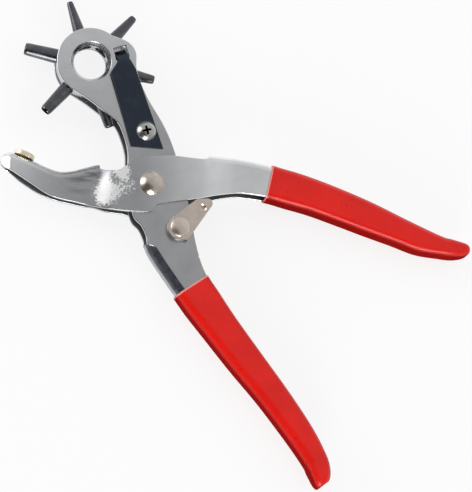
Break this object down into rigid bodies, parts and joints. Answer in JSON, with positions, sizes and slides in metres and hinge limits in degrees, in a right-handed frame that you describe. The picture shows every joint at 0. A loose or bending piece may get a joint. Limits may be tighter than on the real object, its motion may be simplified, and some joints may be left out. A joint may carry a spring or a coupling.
{
  "type": "rotary hole punch",
  "caption": "Rotary leather punch: a folded steel frame holds a turret of hollow punch tubes and a sprung arm closes a brass anvil on the chosen tube.",
  "frame": {"origin": "on the axis of the main pivot, at the flat tail of its rivet, on which the tool lies", "axes": "+Z along the main pivot, from the flat tail to the domed head; +X towards the grip of the anvil arm; +Y towards the turret"},
  "size_m": [0.1999, 0.2052, 0.0207],
  "materials": {
    "sheet_steel": "nickel-plated pressed sheet",
    "ring_steel": "turned and plated",
    "rivet_steel": "nickel-plated, slightly warm",
    "spring_steel": "drawn spring wire",
    "blued_steel": "blued spring steel, matte",
    "punch_steel": "blackened tool steel",
    "screw_steel": "zinc-plated",
    "brass": "machined",
    "red_vinyl": "moulded soft vinyl"
  },
  "bodies": {
    "frame": {"turret_frame": "sheet_steel", "pivot_rivet": "rivet_steel", "pivot_spacer": "ring_steel", "handle_spring": "spring_steel", "detent_spring": "blued_steel", "detent_screw": "screw_steel", "lock_washer": "ring_steel", "lock_rivet": "rivet_steel", "frame_grip": "red_vinyl"},
    "anvil_arm": {"anvil_arm": "sheet_steel", "anvil_pad": "brass", "arm_grip": "red_vinyl"},
    "turret": {"turret_ring": "ring_steel", "tube_2_0": "punch_steel", "tube_2_5": "punch_steel", "tube_3_0": "punch_steel", "tube_3_5": "punch_steel", "tube_4_0": "punch_steel", "tube_4_5": "punch_steel"},
    "latch": {"lock_lever": "rivet_steel"}
  },
  "joints": [
    {"name": "jaw", "type": "hinge", "parent": "frame", "child": "anvil_arm", "pos_m": [0, 0, 0.00885], "axis": [0, 0, 1], "range_deg": [-21, 0], "stiffness_Nm_per_rad": 1.5, "springref_deg": 34.38, "deforming": ["handle_spring"]},
    {"name": "turret", "type": "hinge", "parent": "frame", "child": "turret", "pos_m": [-0.02579, 0.05173, 0.00885], "axis": [0, 0, 1], "continuous": true, "deforming": ["detent_spring"]},
    {"name": "latch", "type": "hinge", "parent": "frame", "child": "latch", "pos_m": [0.0116, -0.0188, 0.01745], "axis": [0, 0, 1], "range_deg": [-90, 35]}
  ]
}
